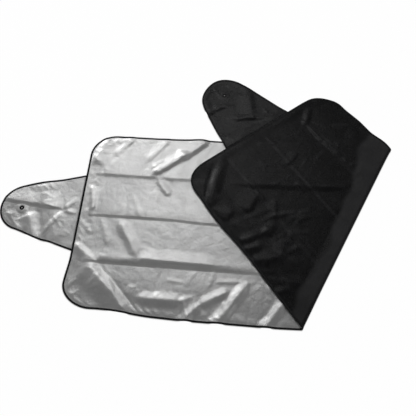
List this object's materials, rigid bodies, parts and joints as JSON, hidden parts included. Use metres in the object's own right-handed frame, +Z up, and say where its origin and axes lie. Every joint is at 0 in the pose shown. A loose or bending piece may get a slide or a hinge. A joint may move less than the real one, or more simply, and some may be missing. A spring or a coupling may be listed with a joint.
{
  "type": "windshield sun shade",
  "caption": "Thin cloth windshield sun shade, silver coated above and black below, with bound edges and an ear at each end, lying flat with its right end folded over",
  "frame": {"origin": "middle of the laid shade's bounding box, on the floor it lies on", "axes": "+X runs along the panel's length, from the left ear toward the folded end; +Y runs across the panel toward the folded ear; +Z is up, out of the silver side"},
  "size_m": [1.4202, 1.0008, 0.0168],
  "materials": {
    "panel_cloth": "silver coated on one side, black woven on the other, creased",
    "panel_binding": "black woven binding tape",
    "left_ear_cloth": "silver coated on one side, black woven on the other, creased",
    "left_ear_binding": "black woven binding tape",
    "right_ear_cloth": "black woven side up, silver coated side down, creased",
    "right_ear_binding": "black woven binding tape",
    "left_eyelet": "black, smooth",
    "left_eyelet_washer": "black, smooth",
    "right_eyelet": "black, smooth",
    "right_eyelet_washer": "black, smooth"
  },
  "bodies": {
    "root": {"panel_cloth": "panel_cloth", "panel_binding": "panel_binding", "left_ear_cloth": "left_ear_cloth", "left_ear_binding": "left_ear_binding", "right_ear_cloth": "right_ear_cloth", "right_ear_binding": "right_ear_binding", "left_eyelet": "left_eyelet", "left_eyelet_washer": "left_eyelet_washer", "right_eyelet": "right_eyelet", "right_eyelet_washer": "right_eyelet_washer"}
  },
  "joints": []
}
